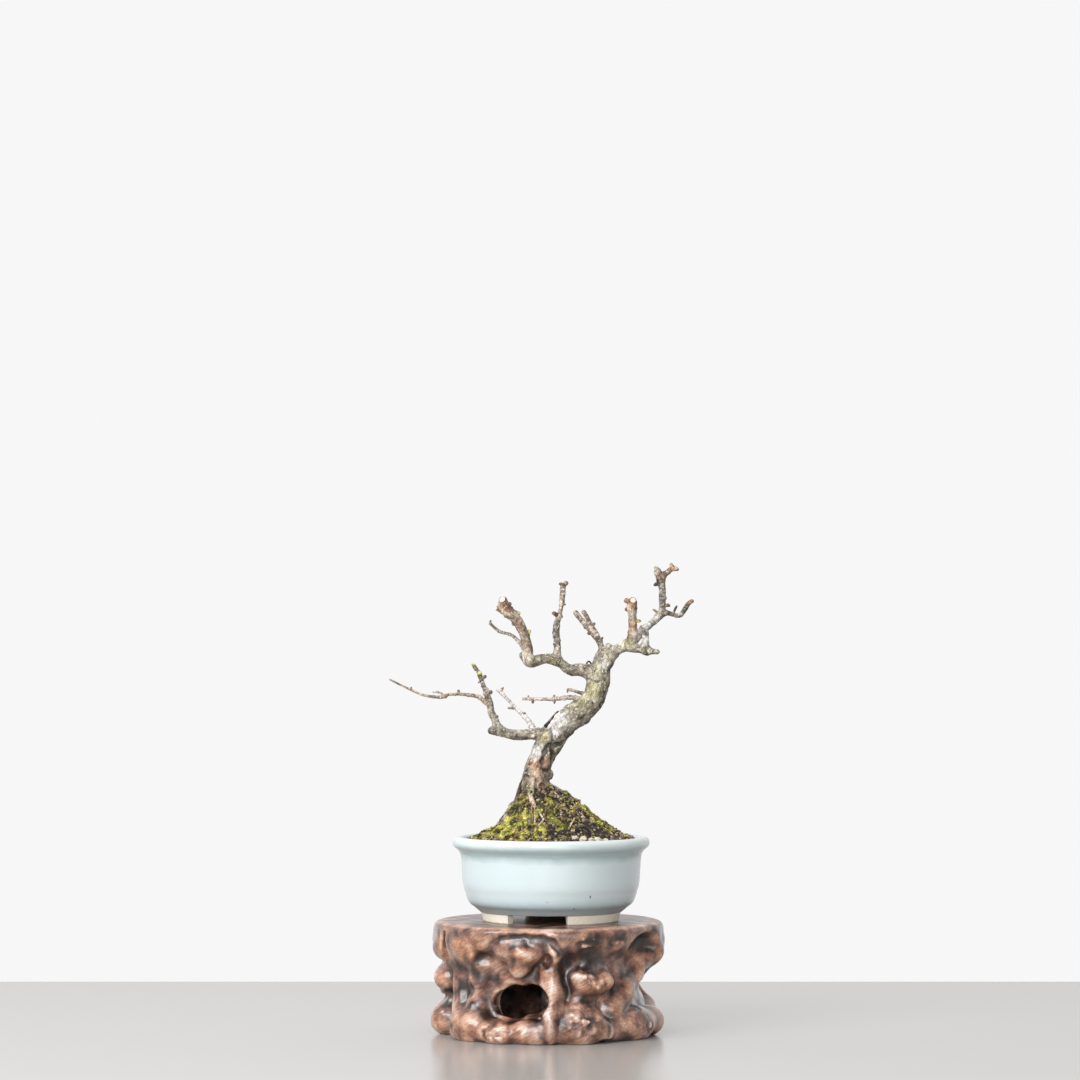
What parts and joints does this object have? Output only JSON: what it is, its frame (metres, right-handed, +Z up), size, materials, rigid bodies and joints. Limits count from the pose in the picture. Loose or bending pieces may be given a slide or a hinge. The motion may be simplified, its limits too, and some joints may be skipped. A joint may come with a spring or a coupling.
{
  "type": "japanese quince bonsai",
  "caption": "Winter-bare dwarf quince tree rising from a mossy root mound in a round glazed pot with clay feet, shown on a carved root-wood display stand.",
  "frame": {"origin": "middle of the object's box at the surface that the stand rests on", "axes": "+Z up through the pot and tree, +X to the right as seen from the front, +Y away from the front"},
  "size_m": [0.1726, 0.13, 0.2679],
  "materials": {
    "stand_wood": "stained and lacquered carved hardwood, glossy on the ridges",
    "celadon_glaze": "pale ice-blue celadon glaze, bare cream clay on the feet",
    "net_plastic": "moulded black net",
    "clip_wire": "drawn annealed wire",
    "quince_bark": "rough grey-brown bark with pale lichen and dark shade",
    "soil": "damp granular baked-clay soil",
    "moss": "dense yellow-green moss",
    "black_wire": "black coated wire, satin",
    "pumice": "pale porous pumice"
  },
  "bodies": {
    "root": {"root_wood_stand": "stand_wood", "celadon_pot": "celadon_glaze", "drainage_mesh": "net_plastic", "mesh_clip_wire": "clip_wire", "quince_tree": "quince_bark", "soil_mound": "soil", "moss_left_slope": "moss", "moss_front_slope": "moss", "moss_front_foot": "moss", "moss_middle": "moss", "moss_small_tuft": "moss", "moss_right_crest": "moss", "moss_right_slope": "moss", "moss_back_left": "moss", "moss_back_right": "moss", "moss_left_foot": "moss", "anchor_wire": "black_wire", "trunk_wire_stub": "black_wire", "crotch_wire_loop": "black_wire", "pumice_grain_1": "pumice", "pumice_grain_2": "pumice", "pumice_grain_3": "pumice", "pumice_grain_4": "pumice", "pumice_grain_5": "pumice"}
  },
  "joints": []
}
